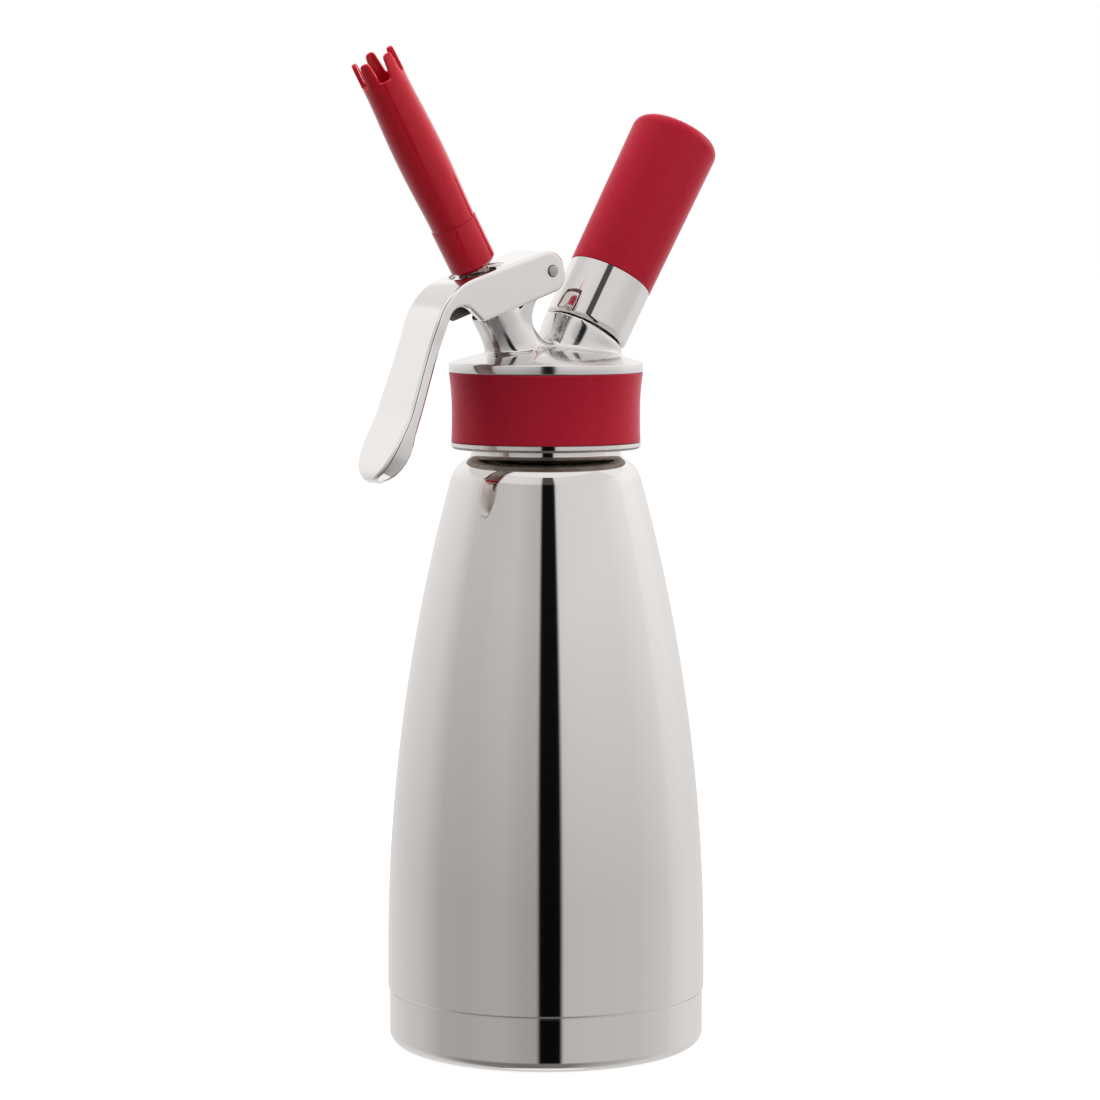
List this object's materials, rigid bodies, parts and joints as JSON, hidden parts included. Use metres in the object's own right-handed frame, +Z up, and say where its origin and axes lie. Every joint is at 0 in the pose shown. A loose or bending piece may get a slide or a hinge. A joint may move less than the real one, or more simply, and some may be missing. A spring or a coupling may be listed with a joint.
{
  "type": "whipped cream dispenser",
  "caption": "Thermal steel whipped cream dispenser: tapered double-walled bottle, screw-on head with squeeze lever, slanted decorator tip and slanted gas charger holder.",
  "frame": {"origin": "centre of the base cup's standing face, on the bottle's axis", "axes": "+Z up along the bottle's axis; the lever and the decorator tip lean towards -X, the charger holder towards +X; the head is symmetric about the XZ plane apart from its screw threads and the tip's tines"},
  "size_m": [0.1348, 0.1038, 0.3224],
  "materials": {
    "polished_steel": "mirror polished stainless steel",
    "machined_steel": "turned or drawn stainless steel",
    "braze": "braze seal",
    "red_silicone": "matte silicone",
    "red_plastic": "glossy moulded plastic",
    "black_rubber": "moulded seal rubber",
    "black_plastic": "moulded bearing plastic",
    "zinc_plated_steel": "zinc plated",
    "tin_foil": "crimped foil cap"
  },
  "bodies": {
    "bottle": {"outer_shell": "polished_steel", "inner_vessel": "machined_steel", "neck_ring": "machined_steel", "vacuum_base_plate": "machined_steel", "evacuation_seal": "braze", "base_cup": "polished_steel"},
    "gasket": {"head_gasket": "red_silicone"},
    "head": {"head_body": "polished_steel", "grip_collar": "red_silicone", "lever_pin": "machined_steel", "charger_stud": "machined_steel", "piercing_pin": "machined_steel", "charger_gasket": "black_rubber", "valve_bush": "black_plastic", "stem_o_ring": "black_rubber"},
    "valve": {"valve_stem": "machined_steel", "valve_seal": "black_rubber", "push_nut": "machined_steel", "valve_spring": "machined_steel"},
    "lever": {"lever": "polished_steel"},
    "washer": {"tip_washer": "black_rubber"},
    "tip": {"tip_tube": "red_plastic", "tip_collar": "red_plastic", "tip_insert": "machined_steel"},
    "charger": {"gas_charger": "zinc_plated_steel", "charger_seal_cap": "tin_foil"},
    "holder": {"holder_body": "polished_steel", "holder_sleeve": "red_silicone"}
  },
  "joints": [
    {"name": "head_lift", "type": "slide", "parent": "bottle", "child": "gasket", "axis": [0, 0, 1], "range_m": [0, 0.012]},
    {"name": "head_turn", "type": "hinge", "parent": "gasket", "child": "head", "pos_m": [0, 0, 0.2], "axis": [0, 0, 1], "range_deg": [0, 1081]},
    {"name": "lever_squeeze", "type": "hinge", "parent": "head", "child": "lever", "pos_m": [-0.00439, 0, 0.25218], "axis": [0, -1, 0], "range_deg": [0, 9], "stiffness_Nm_per_rad": 0.6, "springref_deg": -11.46},
    {"name": "valve_slide", "type": "slide", "parent": "head", "child": "valve", "axis": [0.5, 0, -0.866], "range_m": [0, 0.00313], "deforming": ["valve_spring"]},
    {"name": "tip_lift", "type": "slide", "parent": "valve", "child": "washer", "axis": [-0.5, 0, 0.866], "range_m": [0, 0.006]},
    {"name": "tip_turn", "type": "hinge", "parent": "washer", "child": "tip", "pos_m": [-0.045, 0, 0.28394], "axis": [-0.5, 0, 0.866], "range_deg": [0, 1081]},
    {"name": "charger_lift", "type": "slide", "parent": "head", "child": "charger", "axis": [0.5, 0, 0.866], "range_m": [0, 0.00625]},
    {"name": "holder_turn", "type": "hinge", "parent": "charger", "child": "holder", "pos_m": [0.035, 0, 0.26662], "axis": [0.5, 0, 0.866], "range_deg": [0, 901]}
  ],
  "couplings": [
    {"joint": "head_turn", "follows": "head_lift", "rad_per_m": 1570.8},
    {"joint": "lever_squeeze", "follows": "valve_slide", "rad_per_m": 50.1},
    {"joint": "tip_turn", "follows": "tip_lift", "rad_per_m": 3141.6},
    {"joint": "holder_turn", "follows": "charger_lift", "rad_per_m": 2513.3}
  ]
}
